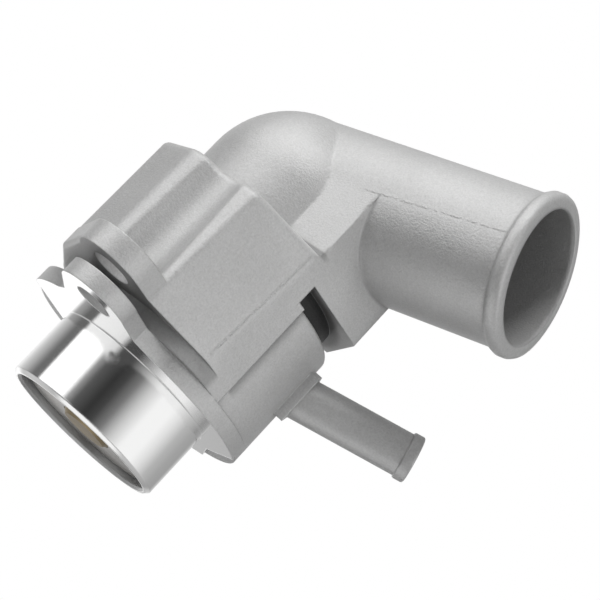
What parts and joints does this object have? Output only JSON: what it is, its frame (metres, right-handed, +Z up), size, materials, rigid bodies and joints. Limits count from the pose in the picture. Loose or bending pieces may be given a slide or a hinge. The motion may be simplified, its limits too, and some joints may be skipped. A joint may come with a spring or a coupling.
{
  "type": "thermostat housing",
  "caption": "Cast aluminium coolant outlet housing with an angled hose neck, a small side nipple, a machined spigot and a wax thermostat inside.",
  "frame": {"origin": "centre of the spigot in the machined flange face", "axes": "+Z up the body, away from the engine; +X under the hose neck; the spigot points down"},
  "size_m": [0.0916, 0.093, 0.1049],
  "materials": {
    "cast_aluminium": "fine blasted casting, with the spigot and flange face turned bright",
    "stainless": "pressed stainless sheet",
    "spring_steel": "drawn spring steel",
    "polished_steel": "ground and polished",
    "brass": "turned brass",
    "rubber": "moulded black rubber",
    "wax": "pressed wax"
  },
  "bodies": {
    "casting": {"housing": "cast_aluminium", "gasket": "rubber", "seat_plate": "stainless", "bridge": "stainless", "frame": "stainless", "retaining_ring": "spring_steel", "piston_pin": "polished_steel"},
    "valve": {"main_valve": "stainless", "valve_rubber": "rubber", "valve_clip": "spring_steel", "capsule": "brass", "capsule_guide": "brass", "rubber_sleeve": "rubber", "wax_charge": "wax", "main_spring": "spring_steel"},
    "jiggle_pin": {"bleed_pin": "brass"}
  },
  "joints": [
    {"name": "valve_travel", "type": "slide", "parent": "casting", "child": "valve", "axis": [0, 0, 1], "range_m": [-0.008, 0], "stiffness_N_per_m": 500, "springref_m": 0.004, "deforming": ["main_spring"]},
    {"name": "bleed_play", "type": "slide", "parent": "casting", "child": "jiggle_pin", "axis": [0, 0, 1], "range_m": [0, 0.0005]}
  ]
}
